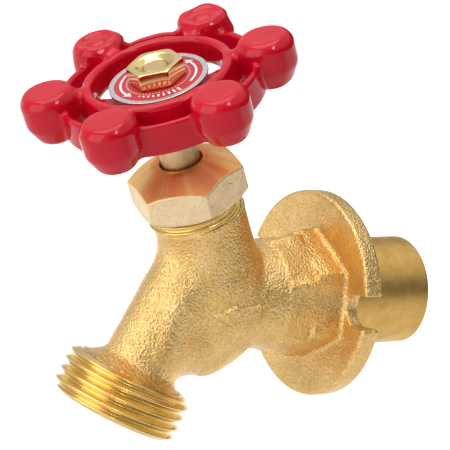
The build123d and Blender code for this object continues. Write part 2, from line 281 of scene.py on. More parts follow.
def value_noise(points, size, seed):
    """Smooth noise from -1 to 1 with features of about the given size."""
    table = np.random.default_rng(seed).uniform(-1, 1, NOISE_VALUES)
    scaled = points / size + seed * NOISE_SHIFT
    cell = np.floor(scaled).astype(np.int64)
    part = scaled - cell
    part = part * part * (3 - 2 * part)
    result = np.zeros(len(points))
    for corner in itertools.product((0, 1), repeat=3):
        key = (cell + corner) @ NOISE_PRIMES
        weight = np.prod(np.where(corner, part, 1 - part), axis=1)
        result += weight * table[key % NOISE_VALUES]
    return result


def add_mesh(name, points, faces, materials):
    """A smooth-shaded mesh object from points in millimetres."""
    mesh = bpy.data.meshes.new(name)
    mesh.from_pydata((np.asarray(points) * MM).tolist(), [], np.asarray(faces).tolist())
    mesh.validate()
    for material in materials:
        mesh.materials.append(material)
    mesh.polygons.foreach_set("use_smooth", [True] * len(mesh.polygons))
    mesh.update()
    obj = bpy.data.objects.new(name, mesh)
    bpy.context.scene.collection.objects.link(obj)
    return obj


def mesh_field(name, field, low, high, step, materials, relief=None, axes=None):
    """Meshes a field between two corners. relief gives a height along the normal."""
    low, high = np.array(low, float), np.array(high, float)
    shape = np.ceil((high - low) / step).astype(int) + 2
    grid = sample(field, low - step, shape, step)
    points, quads = surface_nets(grid, low - step, step)
    points, normals = settle(field, points)
    if relief is not None:
        points = points + normals * relief(points)[:, None]
    if axes is not None:
        points = axes.world(points)
    return add_mesh(name, points, quads, materials)


# ---------------------------------------------------------------- turned pieces and threads


# Steps in a corner's arc, the most of a side that the arc may take, and how much further out the
# held points lie.
ARC_STEPS = 4
LARGEST_CORNER = 0.3
HOLD = 1.4


def round_corners(outline, radius, closed=True):
    """An outline with each corner replaced by a small arc, and a point held on each side."""
    points = [np.array(point, float) for point in outline]
    count = len(points)
    result = []
    for index, corner in enumerate(points):
        if not closed and index in (0, count - 1):
            result.append(corner)
            continue
        to_last = points[index - 1] - corner
        to_next = points[(index + 1) % count] - corner
        last_length, next_length = np.linalg.norm(to_last), np.linalg.norm(to_next)
        reach = min(radius, last_length * LARGEST_CORNER, next_length * LARGEST_CORNER)
        last_way, next_way = to_last / last_length, to_next / next_length
        result.append(corner + last_way * reach * HOLD)
        for step in range(ARC_STEPS + 1):
            t = step / ARC_STEPS
            pull = (1 - t) ** 2 * last_way + t**2 * next_way
            result.append(corner + pull * reach)
        result.append(corner + next_way * reach * HOLD)
    return result


def turn_mesh(name, axes, outline, materials, columns, edge):
    """A piece turned on a lathe: a (radius, height) outline swept about the axis."""
    profile = round_corners(outline, edge)
    rows = len(profile)
    points, faces = [], []
    for column in range(columns):
        angle = 2 * math.pi * column / columns
        for r, z in profile:
            points.append((r * math.cos(angle), r * math.sin(angle), z))
    for column in range(columns):
        following = (column + 1) % columns
        for row in range(rows):
            after = (row + 1) % rows
            here, there = column * rows, following * rows
            faces.append((here + row, there + row, there + after, here + after))
    return add_mesh(name, axes.world(points), faces, materials)


JOIN_GAP = 0.004


def clean_mesh(obj):
    """Joins points that lie together and turns every face outward."""
    shape = bmesh.new()
    shape.from_mesh(obj.data)
    bmesh.ops.remove_doubles(shape, verts=shape.verts, dist=JOIN_GAP * MM)
    bmesh.ops.dissolve_degenerate(shape, edges=shape.edges, dist=JOIN_GAP * MM * 0.5)
    bmesh.ops.recalc_face_normals(shape, faces=shape.faces)
    shape.to_mesh(obj.data)
    shape.free()


# A thread's flat crest as a share of its pitch, the rounding of its crest and root, how far its
# end faces start below the root, and how quickly the chamfer reaches the crest.
CREST_SHARE = 0.07
THREAD_ROUND = 0.2
END_STEP = 0.42
CHAMFER_RISE = 1.08
THREAD_COLUMNS = 144


def thread_shape(phase, pitch, depth):
    """Height of a rounded 60 degree thread, from 0 to 1, at a phase of 0 to 1 along it."""
    from_crest = np.abs((phase + 0.5) % 1 - 0.5)
    flank = depth * math.tan(math.radians(30)) / pitch
    ramp = (CREST_SHARE + flank - from_crest) / flank
    return smooth_min(smooth_max(ramp, 0, THREAD_ROUND), 1, THREAD_ROUND)


def thread_mesh(name, axes, sizes, inside, materials, stations):
    """A threaded end. The rows follow the helix, and are clamped at both ends."""
    columns = THREAD_COLUMNS
    root, major, pitch, start, end, chamfer = sizes
    depth = major - root
    turns = math.ceil((end - start) / pitch) + 2
    rows = turns * stations + 1
    lines = np.arange(rows) / stations - 1.0
    grid = np.zeros((columns + 1, rows, 3))
    for column in range(columns + 1):
        angle = 2 * math.pi * column / columns
        height = start + pitch * (lines + column / columns - 1)
        radius = root + depth * thread_shape(lines, pitch, depth)
        height = np.clip(height, start, end)
        lead = np.minimum(height - start, end - height) / chamfer
        limit = root - END_STEP + (depth + END_STEP) * np.clip(lead, 0, 1) * CHAMFER_RISE
        radius = smooth_min(radius, limit, 0.25)
        grid[column] = np.stack(
            [radius * math.cos(angle), radius * math.sin(angle), height], axis=1
        )
    points = grid.reshape(-1, 3)
    faces = []
    for column in range(columns):
        for row in range(rows - 1):
            a = column * rows + row
            b = a + rows
            faces.append((a, b, b + 1, a + 1))
    ends = [grid[:columns, 0], grid[:columns, -1]]
    profile = round_corners(inside, 0.25, closed=False)
    loops = [ends[1]]
    for r, z in profile:
        angles = 2 * np.pi * np.arange(columns) / columns
        loops.append(np.stack([r * np.cos(angles), r * np.sin(angles), 0 * angles + z], 1))
    loops.append(ends[0])
    first = len(points)
    points = np.concatenate([points, *loops])
    for ring in range(len(loops) - 1):
        for column in range(columns):
            following = (column + 1) % columns
            a = first + ring * columns
            b = a + columns
            faces.append((a + column, a + following, b + following, b + column))
    obj = add_mesh(name, axes.world(points), faces, materials)
    clean_mesh(obj)
    return obj


# ---------------------------------------------------------------- the casting

SPIGOT_R = mounts["inlet_spigot"]["dims"]["r_mm"]
CUP_R = mounts["inlet_cup"]["dims"]["r_mm"]
MOUTH_R = mounts["outlet_mouth"]["dims"]["r_mm"]
MOUTH_DEPTH = mounts["outlet_mouth"]["dims"]["length_mm"]
BODY_HIGH = np.array(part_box("body")[1]) / MM
SPIGOT_END = BODY_HIGH[1]
FLANGE_R = BODY_HIGH[0]
OUTLET_END = np.linalg.norm(np.array(mounts["hose_thread"]["pos_m"]) / MM - OUTLET.origin)

# Wall flange: its thickness, the dish in its front, and the open notches for wall screws. The
# dish's radii are one flange thickness in front, at the front face, and at its floor. A notch's
# upper side flares towards the rim, and its lower side closes in a little.
FLANGE_THICK = 4.0
DISH_DEPTH = 1.5
DISH_RADII = (22.6, 19.7, 15.0)
NOTCH_R = 3.35
NOTCH_CENTRE_R = 16.2
NOTCH_RISE = 5.5
NOTCH_FLARE = 0.12
NOTCH_CLOSE = -0.08

# Inlet barrel as (radius, distance along the inlet), and its hexagons as (corner radius, front
# end, back end, twist in degrees, where the taper starts, edge blend).
INLET_BARREL = ((9.4, -26), (10.6, -19), (11.1, -16), (11.5, -15.3), (11.6, -3.8), (12.3, 0))
BACK_HEXAGON = (13.5, -9.0, -3.0, 24.0, -6.5, 0.35)
FRONT_HEXAGON = (12.8, -15.5, -8.0, 33.0, -11.0, 0.5)
HEX_DRAFT = 0.017

# Threads as (root radius, crest radius, pitch, start, end, chamfer).
HOSE_START = 16.4
HOSE_SIZES = (12.05, 13.38, 25.4 / 11.5, HOSE_START, OUTLET_END, 1.2)
NECK_START = 19.3
NECK_TOP = span("packing_washer", SPINDLE)[0]
NECK_SIZES = (8.9, 9.5, 25.4 / 18, NECK_START, NECK_TOP, 0.5)

# Neck and barrel about the spindle axis. The neck, as (radius, height), is cast a little off the
# axis, and leans further off it over the length given.
NECK_SHIFT = 0.3
NECK_LEAN_START = 6.0
NECK_LEAN_LENGTH = 9.0
NECK_PROFILE = (
    (9.8, -4.0),
    (9.8, 6.0),
    (9.68, 9.0),
    (9.45, 12.0),
    (9.3, 15.0),
    (9.3, NECK_START - 1.0),
    (9.5, NECK_START + 0.4),
)
SPINDLE_BARREL_R = 9.9
SPINDLE_BARREL_BOTTOM = -19.0
SPINDLE_BARREL_TOP = 8.0

# Globe under the seat, an ellipsoid with its tilt in degrees.
GLOBE_CENTRE = np.array([0, -37.25, 4.3])
GLOBE_RADII = np.array([11.4, 25.2, 21.0])
GLOBE_TILT = 25.2

# Web that joins the globe to the outlet: its side outline as (y, z), its half width, and how far
# it stands back from the globe's surface.
WEB_OUTLINE = ((-27, -2), (-33, 8), (-40, 2), (-42.3, -12.6), (-34, -20), (-25, -18))
WEB_HALF_WIDTH = 7.2
WEB_STEP = 1.0

# Flow arrow on the casting's side: its outlines as (y, z), and its height.
ARROW_HEAD = ((-31.8, -1.4), (-27.6, 1.7), (-27.0, -3.6))
ARROW_SHAFT = ((-28.0, 0.5), (-21.8, 1.3), (-21.6, -1.3), (-28.0, -2.0))
ARROW_HEIGHT = 0.6

# Spout about the outlet axis and the flare above its thread, as (radius, height).
OUTLET_SHIFT = -0.9
SPOUT = ((6.2, -12.0), (6.9, -2.0), (7.6, 13.4), (7.9, 15.4), (8.9, 17.2))
SPOUT_FLARE = ((6.0, 13.6), (8.2, 15.0), (9.7, 16.0), (11.6, HOSE_START + 0.3))

# Waterways: the inlet passage ends under the seat, in a chamber that the outlet's bore leaves.
CUP_DEPTH = 12.7
PASSAGE_R = 5.6
PASSAGE_START = np.array([0, SPIGOT_END - CUP_DEPTH + 0.5, 0])
PASSAGE_END = np.array([0, -19.0, -3.0])
PASSAGE_LENGTH = 28.0
CHAMBER = ((3.2, -10.8), (5.2, -8.8), (6.2, -6.0), (6.2, -3.5), (5.2, 1.0))
OUTLET_BORE_R = 4.4
OUTLET_BORE_START = -4.5
OUTLET_BORE_SHIFT = -0.6
THROAT = OUTLET_END - MOUTH_DEPTH


def globe(p, step):
    """Ellipsoid under the seat, its surface moved in by a step."""
    d = p - GLOBE_CENTRE
    c, s = math.cos(math.radians(GLOBE_TILT)), math.sin(math.radians(GLOBE_TILT))
    d = np.stack([d[:, 0], d[:, 1] * c - d[:, 2] * s, d[:, 1] * s + d[:, 2] * c], axis=1)
    radii = GLOBE_RADII - step
    near = np.linalg.norm(d / radii, axis=1)
    return near * (near - 1) / np.maximum(np.linalg.norm(d / radii**2, axis=1), 1e-9)


def side_slab(p, outline, half_width, blend):
    """Slab about x = 0 with a convex side outline of (y, z) points."""
    inside = np.mean(outline, axis=0)
    field = np.abs(p[:, 0]) - half_width
    for (y0, z0), (y1, z1) in zip(outline, outline[1:] + outline[:1]):
        out = np.array([z1 - z0, y0 - y1]) / math.hypot(z1 - z0, y0 - y1)
        if (inside - (y0, z0)) @ out > 0:
            out = -out
        side = (p[:, 1] - y0) * out[0] + (p[:, 2] - z0) * out[1]
        field = smooth_max(field, side, blend)
    return field


def flange(q):
    """Wall flange with a dished front."""
    disc = rounded_rod(q, FLANGE_R, -FLANGE_THICK, 0.0, 0.6)
    heights = [-2 * FLANGE_THICK, -FLANGE_THICK, DISH_DEPTH - FLANGE_THICK]
    dish = turned(q, heights, DISH_RADII, 1.6)
    return smooth_max(disc, -dish, 0.4)


def screw_notch(q, side):
    """One notch, on the right for a side of 1 and on the left for -1."""
    slot = spin(q, -NOTCH_RISE if side > 0 else 180 + NOTCH_RISE)
    slope = np.where(side * slot[:, 1] > 0, NOTCH_CLOSE, NOTCH_FLARE)
    half_width = NOTCH_R + slope * np.maximum(slot[:, 0] - NOTCH_CENTRE_R, 0)
    along = np.maximum(NOTCH_CENTRE_R - slot[:, 0], 0)
    return np.hypot(along, slot[:, 1]) - half_width


def drafted(q, start):
    """Narrows what is built on these points towards the front, from a height along the inlet."""
    q = q.copy()
    q[:, :2] *= 1 + HEX_DRAFT * np.clip(start - q[:, 2:], 0, None)
    return q


def wrench_hexagon(q, corner_r, front, back, twist, taper_start, blend):
    """Worn hexagon on the inlet barrel."""
    return hexagon(drafted(q, taper_start), corner_r, front, back, twist, blend)


def inlet_barrel(q):
    """Barrel behind the globe with two wrench hexagons that taper a little to the front."""
    barrel = turned_profile(q, INLET_BARREL, 1.0)
    barrel = smooth_min(barrel, wrench_hexagon(q, *FRONT_HEXAGON), 0.4)
    return smooth_min(barrel, wrench_hexagon(q, *BACK_HEXAGON), 0.45)


def flow_arrow(p):
    """Arrow cast on the right side, pointing with the flow. Its shaft is a bar."""
    head = side_slab(p, ARROW_HEAD, FLANGE_R, 0.2)
    shaft = side_slab(p, ARROW_SHAFT, FLANGE_R, 0.2)
    return np.maximum(np.minimum(head, shaft), -p[:, 0])


def neck(s):
    """Barrel about the spindle axis, which narrows and leans towards the packing nut."""
    lean = np.clip((s[:, 2] - NECK_LEAN_START) / NECK_LEAN_LENGTH, 0, 1)
    s = s.copy()
    s[:, 1] -= NECK_SHIFT * (1 + lean)
    return turned_profile(s, NECK_PROFILE, 0.4)


def waterways(p, s, o):
    """What is cut out: the inlet passage, the chamber under the seat, and the outlet."""
    way = Axes(PASSAGE_START, PASSAGE_END - PASSAGE_START)
    passage = rounded_rod(way.local(p), PASSAGE_R, 0, PASSAGE_LENGTH, 0.3)
    chamber = turned_profile(s, CHAMBER, 0.8)
    shifted_o = shifted(o, y=OUTLET_BORE_SHIFT)
    bore = rounded_rod(shifted_o, OUTLET_BORE_R, OUTLET_BORE_START, THROAT, 0.3)
    mouth = ((OUTLET_BORE_R, THROAT - 3), (MOUTH_R, THROAT), (MOUTH_R, THROAT + 4))
    mouth = turned_profile(o, mouth, 0.2)
    return np.minimum(np.minimum(passage, chamber), np.minimum(bore, mouth))


def casting(p):
    """The whole casting: each blend is the size of the fillet where two forms meet."""
    q, s, o = INLET.local(p), SPINDLE.local(p), OUTLET.local(p)
    wall = smooth_min(flange(q), inlet_barrel(q), 1.3)
    notches = np.minimum(screw_notch(q, 1), screw_notch(q, -1))
    wall = smooth_max(wall, -notches, 0.35)
    barrel = rounded_rod(s, SPINDLE_BARREL_R, SPINDLE_BARREL_BOTTOM, SPINDLE_BARREL_TOP, 2.0)
    upper = smooth_min(smooth_max(barrel, globe(p, 0.0), 1.5), neck(s), 1.2)
    web = smooth_max(side_slab(p, WEB_OUTLINE, WEB_HALF_WIDTH, 2.5), globe(p, WEB_STEP), 1.0)
    spout = turned_profile(shifted(o, y=OUTLET_SHIFT), SPOUT, 0.3)
    spout = smooth_min(spout, turned_profile(o, SPOUT_FLARE, 0.3), 0.8)
    shell = smooth_min(smooth_min(upper, web, 2.0), spout, 2.6)
    shell = smooth_min(shell, wall, 0.9)
    raised = smooth_max(shell - ARROW_HEIGHT, flow_arrow(p), 0.15)
    shell = smooth_min(shell, raised, 0.15)
    return smooth_max(shell, -waterways(p, s, o), 0.3)


def casting_relief(points):
    """The uneven skin that a sand mould leaves, in millimetres. The wall face is smooth."""
    wide = value_noise(points, 5.0, 3) * 0.04
    middle = value_noise(points, 1.9, 5) * 0.02
    rough = 1 - np.clip((1.0 + points[:, 1]) / 0.8, 0, 1)
    return (wide + middle) * rough


def make_casting(materials):
    low, high = (-21.8, -61.0, -37.0), (21.8, 1.0, 28.0)
    return mesh_field("body_casting", casting, low, high, 0.42, materials, casting_relief)


def make_spigot(materials):
    """The machined spigot with its cup. It starts inside the flange."""
    cup_floor = SPIGOT_END - CUP_DEPTH
    outline = [
        (PASSAGE_R - 0.2, -1.0),
        (SPIGOT_R, -1.0),
        (SPIGOT_R, SPIGOT_END),
        (CUP_R + 0.3, SPIGOT_END),
        (CUP_R, SPIGOT_END - 0.5),
        (CUP_R, cup_floor),
        (PASSAGE_R, cup_floor),
    ]
    return turn_mesh("inlet_spigot", INLET, outline, materials, 160, 0.35)


def make_hose_thread(materials):
    inside = [(MOUTH_R, OUTLET_END), (MOUTH_R, THROAT), (7.7, THROAT - 0.6), (8.3, HOSE_START)]
    return thread_mesh("hose_thread", OUTLET, HOSE_SIZES, inside, materials, stations=18)


def make_neck_thread(materials):
    inside = [(7.1, NECK_SIZES[4]), (7.1, NECK_SIZES[3])]
    return thread_mesh("neck_thread", SPINDLE, NECK_SIZES, inside, materials, stations=12)


# ---------------------------------------------------------------- nuts, handwheel and label

NUT_BOTTOM, NUT_TOP, NUT_CORNER_R = span("packing_nut", SPINDLE)
NUT_SHOULDER = NUT_TOP - 3.4
NUT_TWIST = 48.5
NUT_FACE_R = 5.75
NUT_CONE_TOP_R = 6.1
NUT_STEM_HOLE_R = 4.35
HANDLE_NUT_BOTTOM, HANDLE_NUT_TOP, HANDLE_NUT_CORNER_R = span("handle_nut", SPINDLE)
HANDLE_NUT_TWIST = -5.0
HANDLE_NUT_BORE_R = 2.6
WHEEL_BOTTOM, WHEEL_TOP, WHEEL_R = span("handwheel", SPINDLE)
WHEEL_TWIST = 2.0
HUB_TOP, LABEL_TOP, LABEL_R = span("label_plate", SPINDLE)

# Six lobes. Two are worn low, given as (angle in degrees, drop).
LOBE_R = 5.8
LOBE_CENTRE_R = WHEEL_R - LOBE_R
WORN_LOBES = ((122.0, 1.0), (182.0, 0.6))
WORN_RING_R = 2.5
WORN_RING_WIDTH = 0.75
WORN_RING_DEPTH = 0.5

# Rim and inner ring, each with its middle height and the half sizes of its section.
RIM_OUTER = 20.25
RIM_MIDDLE = 47.35
RIM_HALF_WIDTH = 0.88
RIM_HALF_HEIGHT = 3.15
RING_R = 14.1
RING_MIDDLE = 49.35
RING_HALF_WIDTH = 1.25
RING_HALF_HEIGHT = 2.65

# Bridges between the lobes and the ring.
BRIDGE_R = 1.9
BRIDGE_HEIGHT = 49.2
BRIDGE_BOTTOM = 45.6
BRIDGE_MIDDLE = 17.3
BRIDGE_HALF_LENGTH = 3.4

# Web with three windows, hub, and the square hole for the stem.
WEB_MIDDLE_R = 9.0
WEB_HEIGHT = 47.0
WINDOW_MIDDLE = 12.0
WINDOW_HALF_SIZES = (3.6, 4.3)
WINDOW_TWIST = 92.0
HUB_R = 7.0
HUB_BOTTOM = 44.0
SQUARE_HALF = 2.72


def packing_nut(s):
    """Hexagon nut with a turned cone on top, a small raised face and a threaded bore."""
    r = NUT_CORNER_R
    body = hexagon(s, r, NUT_BOTTOM, NUT_TOP + 1, NUT_TWIST, 0.3)
    profile = (
        (r - 1.6, NUT_BOTTOM),
        (r + 0.1, NUT_BOTTOM + 1.2),
        (r + 0.1, NUT_SHOULDER),
        (NUT_CONE_TOP_R, NUT_TOP - 0.12),
        (NUT_CONE_TOP_R - 0.1, NUT_TOP - 0.1),
    )
    face = rounded_rod(s, NUT_FACE_R, NUT_SHOULDER, NUT_TOP, 0.12)
    cone = smooth_min(turned_profile(s, profile, 0.15), face, 0.05)
    thread = smooth_max(radius_of(s) - NECK_SIZES[1], s[:, 2] - NECK_TOP, 0.2)
    bore = np.minimum(radius_of(s) - NUT_STEM_HOLE_R, thread)
    return smooth_max(smooth_max(body, cone, 0.2), -bore, 0.25)


def packing_nut_relief(points):
    return value_noise(points, 2.6, 12) * 0.03


def handle_nut(s):
    """Hexagon nut with a countersunk face."""
    r, bottom, top = HANDLE_NUT_CORNER_R, HANDLE_NUT_BOTTOM, HANDLE_NUT_TOP
    body = hexagon(s, r, bottom, top, HANDLE_NUT_TWIST, 0.2)
    chamfers = ((r - 0.5, bottom), (r + 0.1, bottom + 0.3), (r + 0.1, top - 0.35), (r - 0.55, top))
    body = smooth_max(body, turned_profile(s, chamfers, 0.15), 0.15)
    sink = ((2.75, top - 0.9), (3.2, top - 0.55), (3.95, top), (4.8, top + 0.5))
    bore = np.minimum(radius_of(s) - HANDLE_NUT_BORE_R, turned_profile(s, sink, 0.1))
    return smooth_max(body, -bore, 0.15)


LOBE_PROFILE = smooth_profile(
    [WHEEL_BOTTOM, 44.1, 47.4, 52.1, 53.5, WHEEL_TOP],
    [2.9, 4.0, 5.65, LOBE_R - 0.05, 4.8, 4.5],
    0.8,
)


def wheel_rim(r, z):
    """The rim's section, which narrows upward."""
    lean = (z - RIM_MIDDLE) / RIM_HALF_HEIGHT
    half = RIM_HALF_WIDTH - 0.22 * lean
    return soft_box(r - RIM_OUTER + half, z - RIM_MIDDLE, half, RIM_HALF_HEIGHT, 0.55)


def wheel_ring(r, z):
    """The inner ring's section, which narrows upward and leans in."""
    lean = (z - RING_MIDDLE) / RING_HALF_HEIGHT
    half = RING_HALF_WIDTH - 0.2 * lean
    return soft_box(r - RING_R + 0.1 * lean, z - RING_MIDDLE, half, RING_HALF_HEIGHT, 0.85)


def wheel_bridge(along, across, z):
    """A round-topped bar from a lobe to the ring."""
    bar = np.hypot(across, np.maximum(z - BRIDGE_HEIGHT, 0) * 0.8) - BRIDGE_R
    bar = smooth_max(bar, BRIDGE_BOTTOM - z, 0.8)
    return smooth_max(bar, np.abs(along - BRIDGE_MIDDLE) - BRIDGE_HALF_LENGTH, 0.5)


def wheel_centre(s):
    """The hub and the web, with three windows in the web."""
    web = soft_box(radius_of(s) - WEB_MIDDLE_R, s[:, 2] - WEB_HEIGHT, 5.0, 1.4, 0.4)
    centre = smooth_min(rounded_rod(s, HUB_R, HUB_BOTTOM, HUB_TOP, 0.5), web, 1.0)
    for index in range(3):
        turned_back = spin(s, WINDOW_TWIST + 120 * index)
        out, side = turned_back[:, 0] - WINDOW_MIDDLE, turned_back[:, 1]
        centre = smooth_max(centre, -soft_box(out, side, *WINDOW_HALF_SIZES, 1.0), 0.4)
    return centre


def handwheel(s):
    """Six lobes on a rim, joined by bridges to an inner ring, a web and a hub."""
    angle = np.arctan2(s[:, 1], s[:, 0]) - math.radians(WHEEL_TWIST)
    sector = math.radians(60)
    angle = np.abs((angle + sector / 2) % sector - sector / 2)
    r, z = radius_of(s), s[:, 2]
    along, across = r * np.cos(angle), r * np.sin(angle)
    lobe = turned(np.stack([along - LOBE_CENTRE_R, across, z], axis=1), *LOBE_PROFILE, 0.7)
    wheel = smooth_min(lobe, wheel_rim(r, z), 1.1)
    inner = smooth_min(wheel_ring(r, z), wheel_bridge(along, across, z), 1.5)
    wheel = smooth_min(smooth_min(wheel, inner, 1.5), wheel_centre(s), 0.7)
    square = np.maximum(np.abs(s[:, 0]), np.abs(s[:, 1])) - SQUARE_HALF
    return smooth_max(wheel, -square, 0.3)


def handwheel_relief(points):
    """Two of the lobes came out of the mould low, with wavy tops and a sunken ring."""
    height = 0.05 * value_noise(points, 4.0, 17)
    for angle, drop in WORN_LOBES:
        c, s = math.cos(math.radians(angle)), math.sin(math.radians(angle))
        centre = np.array([LOBE_CENTRE_R * c, LOBE_CENTRE_R * s])
        off_centre = np.linalg.norm(points[:, :2] - centre, axis=1)
        share = np.clip(1.9 - off_centre / 4.5, 0, 1) * np.clip((points[:, 2] - 48.5) / 3, 0, 1)
        off_ring = (off_centre - WORN_RING_R) / WORN_RING_WIDTH
        ring = WORN_RING_DEPTH * np.exp(-(off_ring**2))
        height -= share * (drop + ring + 0.42 * value_noise(points, 3.4, 21))
    return height


def make_handwheel(materials):
    low, high = (-28.0, -28.0, 42.8), (28.0, 28.0, 54.4)
    return mesh_field(
        "handwheel_casting", handwheel, low, high, 0.33, materials, handwheel_relief, SPINDLE
    )


def make_packing_nut(materials):
    """The flats take the first material, and the turned cone takes the second."""
    low, high = (-12.4, -12.4, NUT_BOTTOM - 0.4), (12.4, 12.4, NUT_TOP + 0.4)
    obj = mesh_field(
        "packing_nut_hex", packing_nut, low, high, 0.2, materials, packing_nut_relief, SPINDLE
    )
    for face in obj.data.polygons:
        local = SPINDLE.local(np.array(face.center) / MM)
        tilt = SPINDLE.rows[2] @ np.array(face.normal)
        face.material_index = int(tilt > 0.5 and local[2] > NUT_SHOULDER - 0.5)
    return obj


def make_handle_nut(materials):
    low, high = (-6.0, -6.0, HANDLE_NUT_BOTTOM - 0.3), (6.0, 6.0, HANDLE_NUT_TOP + 0.3)
    return mesh_field("handle_nut_hex", handle_nut, low, high, 0.11, materials, axes=SPINDLE)


FACE_R = 8.75
LABEL_HOLE_R = 2.65
RED_HEIGHT = LABEL_TOP - 0.08


def ring_strip(r0, r1, start, stop, steps):
    """Outline of a flat band along an arc, in degrees."""
    angles = np.radians(np.linspace(start, stop, steps))
    outer = [(r1 * math.cos(a), r1 * math.sin(a)) for a in angles]
    inner = [(r0 * math.cos(a), r0 * math.sin(a)) for a in reversed(angles)]
    return outer + inner


def label_marks():
    """Two arc arrows, two wedge scales made of ticks that grow, and a ring of fine ticks."""
    marks = []
    for side in (0, 180):
        marks.append(ring_strip(7.3, 7.75, side + 25, side + 92, 24))
        tip = math.radians(side + 103)
        foot = math.radians(side + 91)
        arrow = [(6.7, foot), (8.35, foot), (7.52, tip)]
        marks.append([(r * math.cos(a), r * math.sin(a)) for r, a in arrow])
        for index in range(9):
            centre = side + 116 + 8 * index
            marks.append(ring_strip(6.9, 7.25 + 0.14 * index, centre - 1.6, centre + 1.6, 3))
    for index in range(60):
        marks.append(ring_strip(6.1, 6.45, 6 * index - 0.8, 6 * index + 0.8, 3))
    return marks


def make_label_disc(materials):
    """A printed disc with a bright rolled rim."""
    outline = [
        (LABEL_HOLE_R, LABEL_TOP - 0.5),
        (LABEL_R, LABEL_TOP - 0.5),
        (LABEL_R, LABEL_TOP),
        (FACE_R + 0.1, LABEL_TOP),
        (FACE_R, RED_HEIGHT),
        (LABEL_HOLE_R, RED_HEIGHT),
    ]
    obj = turn_mesh("label_disc", SPINDLE, outline, materials, 128, 0.12)
    for face in obj.data.polygons:
        local = SPINDLE.local(np.array(face.center)[None] / MM)
        on_face = radius_of(local)[0] < FACE_R + 0.02 and local[0, 2] > RED_HEIGHT - 0.02
        face.material_index = 1 if on_face else 0
    return obj


def make_label_marks(materials):
    """The printed marks, each a thin plate that stands just proud of the red face."""
    points, faces = [], []
    for mark in label_marks():
        first = len(points)
        count = len(mark)
        for height in (RED_HEIGHT - 0.02, RED_HEIGHT + 0.03):
            points += [(x, y, height) for x, y in mark]
        faces.append(tuple(range(first + count, first + 2 * count)))
        for index in range(count):
            after = (index + 1) % count
            faces.append(
                (first + index, first + after, first + count + after, first + count + index)
            )
    mesh = bpy.data.meshes.new("label_marks")
    mesh.from_pydata((SPINDLE.world(points) * MM).tolist(), [], faces)
    for material in materials:
        mesh.materials.append(material)
    mesh.update()
    marks = bpy.data.objects.new("label_marks", mesh)
    bpy.context.scene.collection.objects.link(marks)
    return marks


# ---------------------------------------------------------------- materials


class Nodes:
    """Short way to build a node tree."""

    def __init__(self, tree):
        self.tree = tree
        tree.nodes.clear()

    def add(self, kind, inputs=None, **settings):
        node = self.tree.nodes.new(kind)
        for name, value in settings.items():
            setattr(node, name, value)
        for name, value in (inputs or {}).items():
            if isinstance(value, bpy.types.NodeSocket):
                self.tree.links.new(value, node.inputs[name])
            else:
                node.inputs[name].default_value = value
        return node

    def noise(self, vector, size_mm, detail=2.0, roughness=0.5, distortion=0.0):
        inputs = {
            "Vector": vector,
            "Scale": 1000.0 / size_mm,
            "Detail": detail,
            "Roughness": roughness,
            "Distortion": distortion,
        }
        return self.add("ShaderNodeTexNoise", inputs).outputs["Fac"]

    def ramp(self, factor, stops, interpolation="LINEAR"):
        node = self.add("ShaderNodeValToRGB", {"Fac": factor})
        node.color_ramp.interpolation = interpolation
        elements = node.color_ramp.elements
        while len(elements) < len(stops):
            elements.new(0.5)
        for element, (place, colour) in zip(elements, stops):
            element.position = place
            element.color = grey(colour) if isinstance(colour, float) else (*colour, 1.0)
        return node.outputs["Color"]

    def bump(self, height, strength, distance_mm, normal=None):
        inputs = {"Height": height, "Strength": strength, "Distance": distance_mm * MM}
        if normal is not None:
            inputs["Normal"] = normal
        return self.add("ShaderNodeBump", inputs).outputs["Normal"]

    def blend(self, factor, colour, level):
        """A colour that goes over to a grey level as the factor goes to 1."""
        mix = self.add("ShaderNodeMix", data_type="RGBA")
        self.tree.links.new(factor, mix.inputs[0])
        self.tree.links.new(colour, mix.inputs[6])
        mix.inputs[7].default_value = grey(level)
        return mix.outputs[2]

    def vector(self, operation, *inputs):
        """The result of a vector operation."""
        node = self.add("ShaderNodeVectorMath", dict(enumerate(inputs)), operation=operation)
        return node.outputs["Value" if operation == "DOT_PRODUCT" else "Vector"]


def grey(level):
    return (level, level, level, 1.0)


def new_material(name):
    material = bpy.data.materials.new(name)
    material.use_nodes = True
    nodes = Nodes(material.node_tree)
    place = nodes.add("ShaderNodeTexCoord").outputs["Object"]
    return material, nodes, place


def close_material(nodes, **inputs):
    named = {name.replace("_", " "): value for name, value in inputs.items()}
    shader = nodes.add("ShaderNodeBsdfPrincipled", named)
    nodes.add("ShaderNodeOutputMaterial", {"Surface": shader.outputs["BSDF"]})


def cast_brass():
    """Sand-cast skin: fine worm-like grain that catches the light, over slow stains."""
    material, nodes, place = new_material("cast_brass")
    grain = nodes.noise(place, 0.47, 1.0, 0.5, 0.2)
    patch = nodes.noise(place, 4.5, 3.0, 0.5)
    tint_pattern = nodes.ramp(patch, [(0.3, (0.77, 0.49, 0.165)), (0.7, (0.87, 0.595, 0.25))])
    pits = nodes.ramp(grain, [(0.36, 0.88), (0.48, 1.0)])
    inputs = {"Factor": 1.0, 6: tint_pattern, 7: pits}
    mix = nodes.add("ShaderNodeMix", inputs, data_type="RGBA", blend_type="MULTIPLY")
    rough = nodes.ramp(grain, [(0.35, 0.42), (0.65, 0.27)])
    coarse = nodes.bump(patch, 0.3, 0.12)
    normal = nodes.bump(grain, 1.0, 0.32, coarse)
    close_material(
        nodes, Base_Color=mix.outputs[2], Metallic=1.0, Roughness=rough, Normal=normal
    )
    return material


def along_cut(nodes, place, axes):
    """The direction that the tool went round the axis, for the sheen of turned metal and for the
    painted reflection streaks.
    """
    from_axis = nodes.vector("SUBTRACT", place, axes.origin * MM)
    across = nodes.vector("CROSS_PRODUCT", axes.rows[2], from_axis)
    return nodes.vector("NORMALIZE", across)


